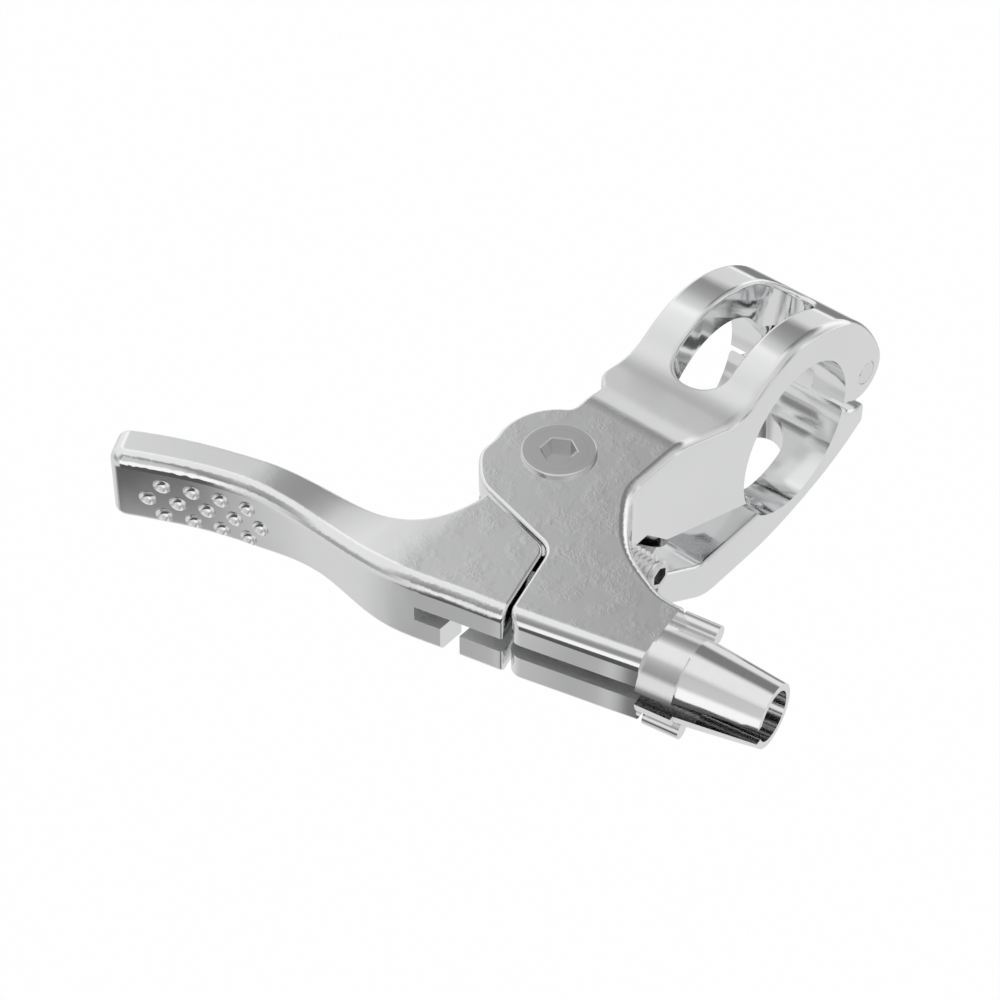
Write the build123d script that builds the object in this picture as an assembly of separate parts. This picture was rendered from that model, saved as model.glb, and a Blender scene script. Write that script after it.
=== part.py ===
from build123d import *
from math import acos, atan2, cos, degrees, hypot, pi, radians, sin, sqrt, tan
import os

# Short bicycle brake lever with a hinged handlebar clamp.
# Millimetres. The origin is the middle of the handlebar bore. X runs along the handlebar towards the
# cable adjuster, Y points from the blade towards the handlebar's far side, and Z is up, square to the plate.

# Pivot's place, from the handlebar
pivot_x = -1.7
pivot_y = -35.4

# Handlebar clamp
bar_diameter = 22.2
clamp_width = 18.5
ring_wall = 4.9
bulge_radius = 23.0
pin_diameter = 3.5
pin_chamfer = 0.2
pin_y = 15.9
pin_z = 0.6
lug_radius = 4.6
lug_offset_y = -0.65
lug_offset_z = 0.2
window_width = 8.2
window_front_y = -11.8
window_back_y = 12.4
lower_window_width = 7.0
lower_window_front_y = -5.0
lower_window_back_y = 8.6
knuckle_width = 8.0
knuckle_radius = 4.0
knuckle_side_gap = 0.15
knuckle_room_z = 5.3
hinge_clearance = 0.04

# Lower clamp half
flange_top_z = -8.6
flange_bottom_z = -15.0
flange_rise_top_y = -19.3
flange_rise_bottom_y = -18.3
flange_tip_y = -28.5
flange_tip_top_z = -3.3
flange_tip_bottom_z = -9.0
ledge_radius = 5.7
lip_y = 16.4
lip_bottom_z = -8.0

# Top plate and perch body
plate_top_z = 16.0
plate_thickness = 10.0
bend_y = -25.0
ramp_foot_z = 11.15
bend_radius = 9.0
valley_radius = 8.0
under_bar_y = -10.4
under_bar_z = -4.1
under_front_y = -27.3
under_front_z = 2.1
under_plate_y = -31.5
waist_x = -5.5
waist_back_y = -12.5
boss_radius = 8.15

# Pivot
pivot_shoulder_diameter = 6.0
pivot_thread_diameter = 5.0
pivot_head_diameter = 9.3
pivot_head_thickness = 2.0
pivot_head_proud = 0.5
pivot_socket_flats = 4.0
pivot_socket_depth = 1.4
head_sink = pivot_head_thickness - pivot_head_proud
nut_flange_diameter = 8.4
nut_flange_thickness = 1.5
nut_sleeve_diameter = 6.8
bush_wall = 0.8
bearing_clearance = 0.03
ear_thickness = 3.2
tongue_thickness = 3.0
washer_thickness = 0.25
tongue_hub_radius = 6.3
washer_radius = 5.6
nut_notch = 1.2
nut_notch_depth = 0.8

# Split between blade and body, seen from above, from the pivot
split_gap = 0.4
split_corner_x = pivot_x + 9.5
split_corner_y = pivot_y - 13.57
split_end_x = pivot_x + 12.65
split_end_y = pivot_y - 25.3
split_rear_x = pivot_x - 2.25
split_rear_y = pivot_y - 10.6
split_corner_radius = 2.8

# Cable line, slot and adjuster
cable_z = 10.6
cable_angle = 8.5
cable_slot = 2.1
body_end_x = pivot_x + 28.1
body_end_y = pivot_y - 16.35
body_end_width = 11.4
front_angle = 13.7
stem_diameter = 7.0
stem_bore = 2.6
stem_length = 7.5
thread_clearance = 0.03
ring_length = 4.7
ring_diameter = 11.7
ring_root_diameter = 10.4
ring_lobe_diameter = 2.4
ring_lobe_circle = 12.6
ring_lobe_angles = (66, 134, 203)
wide_lobe_start = -115
wide_lobe_end = -16
adjuster_slot = 2.2
cone_length = 10.2
cone_base_diameter = 10.5
cone_tip_diameter = 8.1
housing_bore = 6.3
housing_depth = 8.4

# Lever blade
blade_tip_x = -45.9
blade_tip_y = pivot_y - 31.0
waist_mid_x = pivot_x - 13.8
back_bow = ((0.026, 0.25), (0.247, 1.42), (0.477, 1.83), (0.691, 1.69))
front_bow = ((0.013, -6.18), (0.204, -4.53), (0.408, -3.72), (0.589, -3.77), (0.773, -4.48))
waist_drop = 1.1
waist_half_length = 12.5
blade_bottom_z = 6.0
blade_tip_round = 2.0
blade_front_round = 1.8
blade_rear_round = 0.6
blade_bottom_round = 0.8
root_edge_round = 0.4
dimple_diameter = 2.3
dimple_depth = 0.75
dimple_row_pitch = 2.4
dimple_middle_z = 9.95
dimple_pitch = 3.55
dimple_middle_first_x = blade_tip_x + 6.8
dimple_side_first_x = blade_tip_x + 8.6
pocket_x = pivot_x + 4.7
pocket_diameter = 7.0
pocket_top_z = 13.6
pocket_gap = 2.5
pocket_gap_shift = 0.75
pocket_slot_left = pivot_x + 1.05
slot_depth_past_cable = 1.1

# Reach screw and clamp bolt
reach_diameter = 4.0
reach_y = pivot_y - 4.6
reach_length = 12.0
reach_outer_x = 17.5
reach_mouth_x = 11.7
reach_mouth_length = 2.2
reach_socket_flats = 2.0
heel_gap = 0.06
heel_back_y = pivot_y - 2.4
fork_side_x = pivot_x + 7.5
fork_open_y = pivot_y - 0.6
fork_bore_radius = 7.0
clamp_bolt_diameter = 5.0
clamp_bolt_y = -20.0
clamp_bolt_head_diameter = 8.5
clamp_bolt_head_height = 5.0
clamp_bolt_socket_flats = 4.0
clamp_bolt_top_z = 8.0
clamp_bolt_hole_top_z = 8.6
clamp_bolt_seat_z = -11.8
clamp_bolt_hole = 6.9
clamp_bolt_sink_diameter = 10.6

# Rounded edges
body_edge_round = 1.3
left_edge_round = 0.5
under_edge_round = 0.6
front_edge_round = 1.9
window_edge_round = 0.6
clamp_edge_round = 0.6

bar_radius = bar_diameter / 2
ring_radius = bar_radius + ring_wall
half_width = clamp_width / 2
plate_bottom_z = plate_top_z - plate_thickness
lug_y = pin_y + lug_offset_y
lug_z = pin_z + lug_offset_z
cable_dir = Vector(cos(radians(cable_angle)), sin(radians(cable_angle)), 0)
cable_side = Vector(-cable_dir.Y, cable_dir.X, 0)
body_end = Vector(body_end_x, body_end_y, cable_z)
fork_top_z = plate_top_z - ear_thickness
fork_bottom_z = fork_top_z - tongue_thickness - 2 * washer_thickness
clear_front_y = blade_tip_y - 14.0


def prism_x(sketch, x_low, x_high):
    """A YZ sketch, drawn as (y, z), carried along X from x_low to x_high."""
    plane = Plane(origin=(x_low, 0, 0), x_dir=(0, 1, 0), z_dir=(1, 0, 0))
    return extrude(plane * sketch, x_high - x_low, dir=(1, 0, 0))


def prism_z(sketch, z_low, z_high):
    """An XY sketch carried up from z_low to z_high."""
    return extrude(Plane.XY.offset(z_low) * sketch, z_high - z_low, dir=(0, 0, 1))


def rod(start, direction, radius, length):
    """A cylinder that starts at a point and runs along a direction."""
    return extrude(Plane(origin=start, z_dir=direction) * Circle(radius), length)


def box_between(low, high):
    """A box given by two opposite corners."""
    size = Vector(*high) - Vector(*low)
    return Pos(*((Vector(*low) + Vector(*high)) * 0.5)) * Box(size.X, size.Y, size.Z)


def hexagon(flats):
    """A hexagon socket's outline, from its width across flats."""
    return RegularPolygon(flats / sqrt(3), 6)


def circles_meet(c1, r1, c2, r2, side):
    """Where two circles cross, on the given side of the line from the first centre to the second."""
    dx, dy = c2[0] - c1[0], c2[1] - c1[1]
    d = hypot(dx, dy)
    along = (r1 * r1 - r2 * r2 + d * d) / (2 * d)
    off = sqrt(r1 * r1 - along * along) * side
    return (c1[0] + (along * dx - off * dy) / d, c1[1] + (along * dy + off * dx) / d)


def body_profile():
    """Side view of the perch: plate, ramp, valley, clamp ring, bulge towards the hinge and the hinge lug."""
    bulge = circles_meet((0, 0), bulge_radius - ring_radius, (lug_y, lug_z), bulge_radius - lug_radius, -1)
    reach_0 = hypot(*bulge)
    top = (-bulge[0] * ring_radius / reach_0, -bulge[1] * ring_radius / reach_0)
    to_lug = (lug_y - bulge[0], lug_z - bulge[1])
    reach_1 = hypot(*to_lug)
    nose = (lug_y + to_lug[0] * lug_radius / reach_1, lug_z + to_lug[1] * lug_radius / reach_1)
    top_angle = atan2(top[1] - bulge[1], top[0] - bulge[0])
    nose_angle = atan2(nose[1] - bulge[1], nose[0] - bulge[0])
    mid_angle = (top_angle + nose_angle) / 2
    middle = (bulge[0] + bulge_radius * cos(mid_angle), bulge[1] + bulge_radius * sin(mid_angle))
    ring_start = (-sqrt(ring_radius ** 2 - ramp_foot_z ** 2), ramp_foot_z)
    ring_middle_angle = (atan2(ring_start[1], ring_start[0]) + atan2(top[1], top[0])) / 2
    ring_middle = (ring_radius * cos(ring_middle_angle), ring_radius * sin(ring_middle_angle))
    lug_end_angle = radians(-150)
    lug_side = (lug_y + lug_radius * cos(radians(-50)), lug_z + lug_radius * sin(radians(-50)))
    lug_end = (lug_y + lug_radius * cos(lug_end_angle), lug_z + lug_radius * sin(lug_end_angle))
    outline = [
        Line((clear_front_y, plate_top_z), (bend_y, plate_top_z)),
        Line((bend_y, plate_top_z), ring_start),
        ThreePointArc(ring_start, ring_middle, top),
        ThreePointArc(top, middle, nose),
        ThreePointArc(nose, lug_side, lug_end),
        Line(lug_end, (0, 0)),
        Line((0, 0), (under_bar_y, under_bar_z)),
        Line((under_bar_y, under_bar_z), (under_front_y, under_front_z)),
        Line((under_front_y, under_front_z), (under_plate_y, plate_bottom_z)),
        Line((under_plate_y, plate_bottom_z), (clear_front_y, plate_bottom_z)),
        Line((clear_front_y, plate_bottom_z), (clear_front_y, plate_top_z)),
    ]
    face = make_face(Curve() + outline)
    bend = face.vertices().sort_by_distance(Vector(bend_y, plate_top_z, 0))[0]
    face = fillet(bend, bend_radius)
    valley = face.vertices().sort_by_distance(Vector(ring_start[0], ring_start[1], 0))[0]
    return fillet(valley, valley_radius)


def front_line_y(x):
    """Where the body's front face lies at x: a straight run that leaves the split at the front angle."""
    return split_end_y + (x - split_end_x) * tan(radians(front_angle))


def body_plan():
    """Plan of the perch: clamp sides, flank, adjuster end, front face, split, pivot boss and waist."""
    end_back = body_end + cable_side * (body_end_width / 2)
    front_dir = Vector(1, tan(radians(front_angle)))
    front_corner = lines_meet(body_end, cable_side, Vector(split_end_x, split_end_y), front_dir)
    end_front = (front_corner.X, front_corner.Y)
    flank = Spline(
        [(half_width, pivot_y + 2.4), (half_width + 1.85, pivot_y - 2.4), (half_width + 5.95, pivot_y - 7.2),
         (end_back.X - 5.16, end_back.Y + 0.71), (end_back.X, end_back.Y)],
        tangents=[(0, -1), (cable_dir.X, cable_dir.Y)],
    )
    boss_left_angle = radians(196)
    boss_back_angle = radians(122)
    boss_left = (pivot_x + boss_radius * cos(boss_left_angle), pivot_y + boss_radius * sin(boss_left_angle))
    boss_middle_angle = (boss_left_angle + boss_back_angle) / 2
    boss_middle = (
        pivot_x + boss_radius * cos(boss_middle_angle), pivot_y + boss_radius * sin(boss_middle_angle)
    )
    boss_back = (pivot_x + boss_radius * cos(boss_back_angle), pivot_y + boss_radius * sin(boss_back_angle))
    heel = Spline(
        [(split_rear_x, split_rear_y), (pivot_x - 5.9, pivot_y - 8.1), (pivot_x - 7.5, pivot_y - 5.6),
         boss_left],
        tangents=[(-0.97, 0.24), (-sin(boss_left_angle) * -1, cos(boss_left_angle) * -1)],
    )
    waist = Spline(
        [boss_back, (waist_x, waist_back_y - 13.5), (waist_x - 0.7, waist_back_y - 9.0),
         (-half_width, waist_back_y)],
        tangents=[(sin(boss_back_angle), -cos(boss_back_angle)), (0, 1)],
    )
    back_y = lug_y + lug_radius + 4
    outline = [
        Line((half_width, back_y), (half_width, pivot_y + 2.4)),
        flank,
        Line((end_back.X, end_back.Y), end_front),
        Line(end_front, (split_end_x, split_end_y)),
        Line((split_end_x, split_end_y), (split_corner_x, split_corner_y)),
        Line((split_corner_x, split_corner_y), (split_rear_x, split_rear_y)),
        heel,
        ThreePointArc(boss_left, boss_middle, boss_back),
        waist,
        Line((-half_width, waist_back_y), (-half_width, back_y)),
        Line((-half_width, back_y), (half_width, back_y)),
    ]
    face = make_face(Curve() + outline)
    corner = face.vertices().sort_by_distance(Vector(split_corner_x, split_corner_y, 0))[0]
    return fillet(corner, split_corner_radius)


def stadium(x_mid, width, y_low, y_high):
    """A round-ended slot in plan."""
    return Pos(x_mid, (y_low + y_high) / 2) * Rot(0, 0, 90) * SlotOverall(y_high - y_low, width)


def edge_at(shape, x, y, z):
    """The edge of a solid that passes nearest to a point."""
    return min(shape.edges(), key=lambda edge: edge.distance_to(Vector(x, y, z)))


def round_edges(shape, radius, *points):
    """Rounds the edges, and the smooth chains they belong to, that pass through the points."""
    return fillet([edge_at(shape, *point) for point in points], radius)


def rim_at(shape, x, y, z):
    """The round edge whose centre lies nearest to a point."""
    rims = shape.edges().filter_by(GeomType.CIRCLE)
    return min(rims, key=lambda edge: (edge.arc_center - Vector(x, y, z)).length)


def lines_meet(p, p_dir, q, q_dir):
    """Where two lines of the plan cross, each given by a point and a direction."""
    cross = p_dir.X * q_dir.Y - p_dir.Y * q_dir.X
    gap = q - p
    return p + p_dir * ((gap.X * q_dir.Y - gap.Y * q_dir.X) / cross)


def on_cable(x, z=cable_z):
    """The point of the cable line at x."""
    return Vector(x, body_end_y + (x - body_end_x) * tan(radians(cable_angle)), z)


def open_to_front(start, end):
    """Plan of a slot that lies in front of the line between two points and runs out of the front."""
    return Polygon(
        (start.X, start.Y), (end.X, end.Y), (end.X, clear_front_y), (start.X, clear_front_y), align=None,
    )


def split_side(offset):
    """Rear end, corner and front end of the split line, moved towards the blade by an offset."""
    rear = Vector(split_rear_x, split_rear_y)
    corner = Vector(split_corner_x, split_corner_y)
    end = Vector(split_end_x, split_end_y)
    rear_dir = (corner - rear).normalized()
    end_dir = (end - corner).normalized()
    rear_shift = Vector(rear_dir.Y, -rear_dir.X) * offset
    end_shift = Vector(end_dir.Y, -end_dir.X) * offset
    new_corner = lines_meet(rear + rear_shift, rear_dir, end + end_shift, end_dir)
    return rear + rear_shift, new_corner, end + end_shift


def build_body():
    """The perch: plan and side view crossed, rounded, then bored, slotted and drilled."""
    body = prism_z(body_plan(), -20, 30) & prism_x(body_profile(), -30, 40)
    split_middle = ((split_corner_x + split_end_x) / 2, (split_corner_y + split_end_y) / 2)
    arm_top = (0, ring_radius)
    boss_side = (pivot_x - boss_radius, pivot_y, plate_top_z)
    body = round_edges(
        body, left_edge_round, (*split_middle, plate_top_z), boss_side, (-half_width, *arm_top),
    )
    body = round_edges(body, body_edge_round, (half_width, bend_y - 3, plate_top_z), (half_width, *arm_top))
    front_middle = ((split_end_x + body_end_x) / 2, front_line_y((split_end_x + body_end_x) / 2))
    body = round_edges(body, front_edge_round, (*front_middle, plate_top_z))
    body = round_edges(body, under_edge_round, (*front_middle, plate_bottom_z))
    body -= rod((-half_width - 1, 0, 0), (1, 0, 0), bar_radius, clamp_width + 2)
    window = prism_z(stadium(0, window_width, window_front_y, window_back_y), -20, 30)
    body -= window
    body = round_edges(body, window_edge_round, (window_width / 2, *arm_top))
    room_half = knuckle_width / 2 + knuckle_side_gap
    body -= box_between((-room_half, 10.0, -6.0), (room_half, 22.0, knuckle_room_z))
    body -= rod((-half_width - 1, pin_y, pin_z), (1, 0, 0), pin_diameter / 2, clamp_width + 2)
    fork_plan = Pos(pivot_x, pivot_y) * Circle(fork_bore_radius)
    fork_side = Polygon(
        (-20, fork_open_y), (fork_side_x, fork_open_y), (fork_side_x, split_corner_y - 5),
        (-20, split_corner_y - 5), align=None,
    )
    body -= prism_z(fork_plan + fork_side, fork_bottom_z, fork_top_z)
    slot_back = cable_side * slot_depth_past_cable
    slot_a = on_cable(0) + slot_back
    slot_b = on_cable(body_end_x + 6) + slot_back
    slot_plan = open_to_front(slot_a, slot_b)
    body -= prism_z(slot_plan, cable_z - cable_slot / 2, cable_z + cable_slot / 2)
    body -= rod(body_end + cable_dir, cable_dir * -1, stem_diameter / 2 + thread_clearance, stem_length + 1.6)
    body -= rod((pivot_x, pivot_y, plate_top_z + 1), (0, 0, -1), pivot_head_diameter / 2, 1 + head_sink)
    body -= rod(
        (pivot_x, pivot_y, plate_top_z + 1), (0, 0, -1), pivot_shoulder_diameter / 2, 1 + ear_thickness + 1,
    )
    body -= rod(
        (pivot_x, pivot_y, plate_bottom_z - 1), (0, 0, 1), nut_sleeve_diameter / 2, plate_thickness / 2,
    )
    body -= rod(
        (pivot_x, pivot_y, plate_bottom_z - 1), (0, 0, 1), nut_flange_diameter / 2, 1 + nut_flange_thickness,
    )
    body -= rod((fork_side_x - 1, reach_y, cable_z), (1, 0, 0), reach_diameter / 2 + thread_clearance, 14)
    mouth_mid = reach_mouth_x + reach_mouth_length / 2
    mouth_cone = Cone(reach_diameter / 2, reach_diameter / 2 + reach_mouth_length, reach_mouth_length)
    body -= Pos(mouth_mid, reach_y, cable_z) * Rot(0, 90, 0) * mouth_cone
    bolt_hole = clamp_bolt_diameter / 2 + thread_clearance
    body -= rod((0, clamp_bolt_y, -10), (0, 0, 1), bolt_hole, clamp_bolt_hole_top_z + 10)
    return body


def finger_side(bow):
    """One side of the finger part: each point is a share of the way and a distance from the straight."""
    waist_y = split_end_y + 3.7
    points = []
    for share, off in bow:
        x = waist_mid_x + (blade_tip_x - waist_mid_x) * share
        points.append((x, waist_y + (blade_tip_y - waist_y) * share + off))
    return points


def blade_outline():
    """Plan of the full-height blade: rear contour, tip, finger side and the two runs of the split."""
    rear, corner, end = split_side(split_gap)
    tip_rear = (blade_tip_x, blade_tip_y)
    tip_front = (blade_tip_x + 2.4, blade_tip_y - 4.6)
    root_back = [(rear.X - 0.85, rear.Y - 4.5), (rear.X - 3.35, rear.Y - 8.2), (rear.X - 7.15, rear.Y - 10.0)]
    back = Spline([(rear.X, rear.Y), *root_back, *finger_side(back_bow), tip_rear])
    finger = finger_side(front_bow)[::-1]
    root_front = [(end.X - 21.85, end.Y - 2.95), (end.X - 17.25, end.Y - 3.25), (end.X - 13.55, end.Y - 2.95)]
    root_front.append((end.X - 6.65, end.Y - 1.45))
    front = Spline(
        [tip_front, *finger, *root_front, (end.X, end.Y)],
        tangents=[(0.87, 0.5), (cos(radians(front_angle)), sin(radians(front_angle)))],
    )
    outline = [
        back,
        Line(tip_rear, tip_front),
        front,
        Line((end.X, end.Y), (corner.X, corner.Y)),
        Line((corner.X, corner.Y), (rear.X, rear.Y)),
    ]
    face = make_face(Curve() + outline)
    inner = face.vertices().sort_by_distance(Vector(corner.X, corner.Y, 0))[0]
    face = fillet(inner, split_corner_radius - split_gap)
    tip = face.vertices().sort_by_distance(Vector(tip_front[0], tip_front[1], 0))[0]
    return fillet(tip, blade_tip_round)


def blade_heights():
    """Side view of the blade in (x, z): full height at root and tip with a smooth waist above and below."""
    left = waist_mid_x - waist_half_length
    right = waist_mid_x + waist_half_length
    quarter = waist_half_length / 2
    half_drop = waist_drop / 2
    past_tip = blade_tip_x - 9.0
    past_root = split_end_x + 9.0
    top = Spline(
        [(right, plate_top_z), (waist_mid_x + quarter, plate_top_z - half_drop),
         (waist_mid_x, plate_top_z - waist_drop), (waist_mid_x - quarter, plate_top_z - half_drop),
         (left, plate_top_z)],
        tangents=[(-1, 0), (-1, 0)],
    )
    bottom = Spline(
        [(left, blade_bottom_z), (waist_mid_x - quarter, blade_bottom_z + half_drop),
         (waist_mid_x, blade_bottom_z + waist_drop), (waist_mid_x + quarter, blade_bottom_z + half_drop),
         (right, blade_bottom_z)],
        tangents=[(1, 0), (1, 0)],
    )
    outline = [
        Line((past_root, plate_top_z), (right, plate_top_z)),
        top,
        Line((left, plate_top_z), (past_tip, plate_top_z)),
        Line((past_tip, plate_top_z), (past_tip, blade_bottom_z)),
        Line((past_tip, blade_bottom_z), (left, blade_bottom_z)),
        bottom,
        Line((right, blade_bottom_z), (past_root, blade_bottom_z)),
        Line((past_root, blade_bottom_z), (past_root, plate_top_z)),
    ]
    return make_face(Curve() + outline)


def tongue_plan():
    """Plan of the blade's tongue: hub on the pivot, heel that meets the reach screw, web to the root."""
    heel_x = reach_outer_x - reach_length - heel_gap
    web = Polygon(
        (heel_x, heel_back_y), (heel_x, pivot_y - 16.6), (pivot_x - 1.5, pivot_y - 13.2),
        (pivot_x - tongue_hub_radius, pivot_y - 2.0), (pivot_x, pivot_y), align=None,
    )
    return Pos(pivot_x, pivot_y) * Circle(tongue_hub_radius) + web


def build_blade():
    """The lever blade in one piece: waisted, rounded, dimpled, slotted for the cable and drilled."""
    blade = prism_z(blade_outline(), 0, 20) & extrude(
        Plane.XZ * blade_heights(), -clear_front_y, dir=(0, -1, 0),
    )
    front_x, front_y = finger_side(front_bow)[3]
    back_x, back_y = finger_side(back_bow)[3]
    rear, corner, end = split_side(split_gap)
    wall = blade.faces().sort_by(lambda face: face.distance_to(Vector(front_x, front_y, cable_z)))[0]
    blade = round_edges(blade, blade_front_round, (front_x, front_y, plate_top_z))
    blade = round_edges(blade, blade_rear_round, (back_x, back_y, plate_top_z))
    under = [(front_x, front_y, blade_bottom_z), (back_x, back_y, blade_bottom_z)]
    blade = round_edges(blade, blade_bottom_round, *under)
    root_middle = (corner + end) * 0.5
    blade = round_edges(blade, root_edge_round, (root_middle.X, root_middle.Y, plate_top_z))
    rows = [
        (dimple_side_first_x, dimple_middle_z + dimple_row_pitch, 4),
        (dimple_middle_first_x, dimple_middle_z, 5),
        (dimple_side_first_x, dimple_middle_z - dimple_row_pitch, 4),
    ]
    dimple_radius = dimple_diameter / 2
    ball_radius = (dimple_radius ** 2 + dimple_depth ** 2) / (2 * dimple_depth)
    for first_x, z, count in rows:
        for i in range(count):
            x = first_x + i * dimple_pitch
            point, normal = wall.find_intersection_points(Axis((x, clear_front_y, z), (0, 1, 0)))[0]
            blade -= Pos(*(point + normal * (ball_radius - dimple_depth))) * Sphere(ball_radius)
    blade += prism_z(tongue_plan(), fork_bottom_z + washer_thickness, fork_top_z - washer_thickness)
    blade -= rod((pivot_x, pivot_y, 0), (0, 0, 1), pivot_shoulder_diameter / 2 + bush_wall, 20)
    pocket = on_cable(pocket_x)
    pocket_foot = (pocket.X, pocket.Y, blade_bottom_z - 1)
    blade -= rod(pocket_foot, (0, 0, 1), pocket_diameter / 2, pocket_top_z - blade_bottom_z + 1)
    slot_back = cable_side * slot_depth_past_cable
    slot_a = on_cable(pocket_slot_left) + slot_back
    slot_b = on_cable(split_end_x + 2) + slot_back
    slot_plan = open_to_front(slot_a, slot_b)
    blade -= prism_z(slot_plan, cable_z - cable_slot / 2, cable_z + cable_slot / 2)
    gap_mid = pocket.X + pocket_gap_shift
    gap_low = (gap_mid - pocket_gap / 2, clear_front_y, blade_bottom_z - 1)
    gap = box_between(gap_low, (gap_mid + pocket_gap / 2, pocket.Y, cable_z))
    return blade - gap


def build_clamp_half():
    """Lower half of the clamp: a band under the bar with a flange for the bolt."""
    ledge_start = circles_meet((0, 0), bar_radius, (pin_y, pin_z), ledge_radius, -1)
    ledge_end = (lip_y, pin_z - sqrt(ledge_radius ** 2 - (lip_y - pin_y) ** 2))
    ledge_first = atan2(ledge_start[1] - pin_z, ledge_start[0] - pin_y)
    ledge_last = atan2(ledge_end[1] - pin_z, ledge_end[0] - pin_y)
    ledge_middle_angle = (ledge_first + ledge_last) / 2
    ledge_middle = (
        pin_y + ledge_radius * cos(ledge_middle_angle), pin_z + ledge_radius * sin(ledge_middle_angle)
    )
    seat_end_y = -sqrt(bar_radius ** 2 - flange_top_z ** 2)
    outer = Spline(
        [(lip_y, lip_bottom_z), (11.2, -10.75), (5.7, -12.7), (0.6, -13.95), (-6.4, -14.95),
         (-9.5, flange_bottom_z)],
        tangents=[(-0.87, -0.5), (-1, 0)],
    )
    outline = [
        ThreePointArc(ledge_start, ledge_middle, ledge_end),
        Line(ledge_end, (lip_y, lip_bottom_z)),
        outer,
        Line((-9.5, flange_bottom_z), (flange_rise_bottom_y, flange_bottom_z)),
        Line((flange_rise_bottom_y, flange_bottom_z), (flange_tip_y, flange_tip_bottom_z)),
        Line((flange_tip_y, flange_tip_bottom_z), (flange_tip_y, flange_tip_top_z)),
        Line((flange_tip_y, flange_tip_top_z), (flange_rise_top_y, flange_top_z)),
        Line((flange_rise_top_y, flange_top_z), (seat_end_y, flange_top_z)),
        ThreePointArc((seat_end_y, flange_top_z), (0, -bar_radius), ledge_start),
    ]
    face = make_face(Curve() + outline)
    corners = [
        ((flange_rise_bottom_y, flange_bottom_z), 8.0),
        ((flange_rise_top_y, flange_top_z), 5.0),
        ((flange_tip_y, flange_tip_bottom_z), 2.0),
        ((flange_tip_y, flange_tip_top_z), 1.2),
        ((lip_y, lip_bottom_z), 1.0),
        (ledge_end, 0.5),
    ]
    for corner, radius in corners:
        vertex = face.vertices().sort_by_distance(Vector(corner[0], corner[1], 0))[0]
        face = fillet(vertex, radius)
    half = prism_x(face, -half_width, half_width)
    half = round_edges(
        half, clamp_edge_round, (half_width, -13.0, flange_top_z), (half_width, -13.0, flange_bottom_z),
    )
    half = round_edges(
        half, clamp_edge_round, (-half_width, -13.0, flange_top_z), (-half_width, -13.0, flange_bottom_z),
    )
    return half


def build_clamp_half_full():
    """The lower clamp half with its knuckle, window, pin hole and sunk bolt hole."""
    half = build_clamp_half()
    neck = make_face(Polyline(
        (pin_y - knuckle_radius, pin_z), (10.0, -5.0), (13.0, -9.3), (lip_y, -7.0), (17.6, -4.0),
        (pin_y + knuckle_radius * cos(radians(-35)), pin_z + knuckle_radius * sin(radians(-35))), (
            pin_y, pin_z,
        ),
        (pin_y - knuckle_radius, pin_z),
    ))
    knuckle = prism_x(
        Pos(pin_y, pin_z) * Circle(knuckle_radius) + neck, -knuckle_width / 2, knuckle_width / 2,
    )
    half += knuckle
    half -= rod((-half_width - 1, 0, 0), (1, 0, 0), bar_radius, clamp_width + 2)
    half -= rod(
        (-half_width - 1, pin_y, pin_z), (1, 0, 0), pin_diameter / 2 + hinge_clearance, clamp_width + 2,
    )
    half -= prism_z(stadium(0, lower_window_width, lower_window_front_y, lower_window_back_y), -30, 0)
    half -= rod((0, clamp_bolt_y, -30), (0, 0, 1), clamp_bolt_hole / 2, 30)
    half -= rod((0, clamp_bolt_y, -30), (0, 0, 1), clamp_bolt_sink_diameter / 2, 30 + clamp_bolt_seat_z)
    return half


def build_pivot_bolt():
    """Shoulder screw of the pivot: flat head with a hexagon socket, plain shoulder and a threaded end."""
    top = plate_top_z + pivot_head_proud
    seat = top - pivot_head_thickness
    head = rod((pivot_x, pivot_y, seat), (0, 0, 1), pivot_head_diameter / 2, pivot_head_thickness)
    head = fillet([rim_at(head, pivot_x, pivot_y, top)], 0.2)
    shoulder = rod(
        (pivot_x, pivot_y, fork_bottom_z), (0, 0, 1), pivot_shoulder_diameter / 2, seat - fork_bottom_z,
    )
    thread_foot = (pivot_x, pivot_y, plate_bottom_z + 0.3)
    thread = rod(thread_foot, (0, 0, 1), pivot_thread_diameter / 2, fork_bottom_z - plate_bottom_z)
    bolt = head + shoulder + thread
    socket = prism_z(Pos(pivot_x, pivot_y) * hexagon(pivot_socket_flats), top - pivot_socket_depth, top + 1)
    return bolt - socket


def build_pivot_nut():
    """Low sleeve nut under the pivot, flush with the underside, with two spanner notches."""
    flange = rod((pivot_x, pivot_y, plate_bottom_z), (0, 0, 1), nut_flange_diameter / 2, nut_flange_thickness)
    sleeve = rod(
        (pivot_x, pivot_y, plate_bottom_z), (0, 0, 1),
        nut_sleeve_diameter / 2, fork_bottom_z - plate_bottom_z,
    )
    nut = flange + sleeve
    nut -= rod((pivot_x, pivot_y, 0), (0, 0, 1), pivot_thread_diameter / 2, 20)
    notch = box_between(
        (-5, -nut_notch / 2, plate_bottom_z - 1), (5, nut_notch / 2, plate_bottom_z + nut_notch_depth),
    )
    return nut - Pos(pivot_x, pivot_y, 0) * notch


def washer(inner_radius, outer_radius, z_low, z_high):
    """A flat ring about the pivot."""
    ring = Circle(outer_radius) - Circle(inner_radius)
    return prism_z(Pos(pivot_x, pivot_y) * ring, z_low, z_high)


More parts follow.
